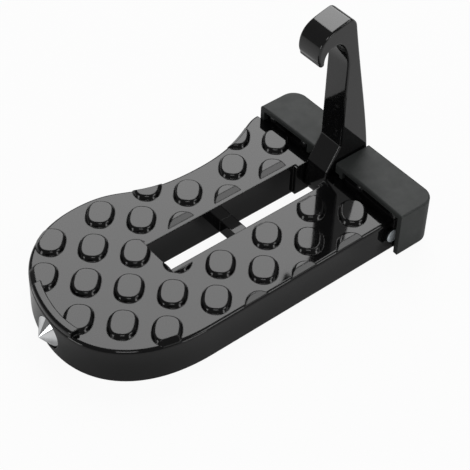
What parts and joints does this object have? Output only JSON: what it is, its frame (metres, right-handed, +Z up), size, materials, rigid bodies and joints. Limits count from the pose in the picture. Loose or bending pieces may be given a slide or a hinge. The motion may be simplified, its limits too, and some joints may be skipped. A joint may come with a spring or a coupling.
{
  "type": "car door latch step",
  "caption": "Die-cast door step with a waisted studded tread, a hook that folds into its slot, a rubber bumper and a glass-breaker tip.",
  "frame": {"origin": "bottom centre of the step's box with the hook upright, on the plane of the skirt's bottom rim", "axes": "+Z up, -X towards the toe with the hammer tip, +X towards the car, +Y towards the waisted side"},
  "size_m": [0.1768, 0.0988, 0.1034],
  "materials": {
    "black_casting": "gloss black enamel on die-cast alloy",
    "black_hook": "gloss black enamel on steel",
    "black_rubber": "satin black moulded rubber",
    "black_stud": "black stud head",
    "plated_steel": "bright zinc plate",
    "chrome": "polished chrome"
  },
  "bodies": {
    "step": {"tread_casting": "black_casting", "bumper": "black_rubber", "bumper_stud_1": "black_stud", "bumper_stud_2": "black_stud", "bumper_stud_3": "black_stud", "bumper_stud_4": "black_stud", "hinge_pin": "plated_steel", "hammer_tip": "chrome"},
    "hook": {"folding_hook": "black_hook"}
  },
  "joints": [
    {"name": "hook_fold", "type": "hinge", "parent": "step", "child": "hook", "pos_m": [0.0694, 0.00185, 0.0079], "axis": [0, -1, 0], "range_deg": [0, 90.6]}
  ]
}
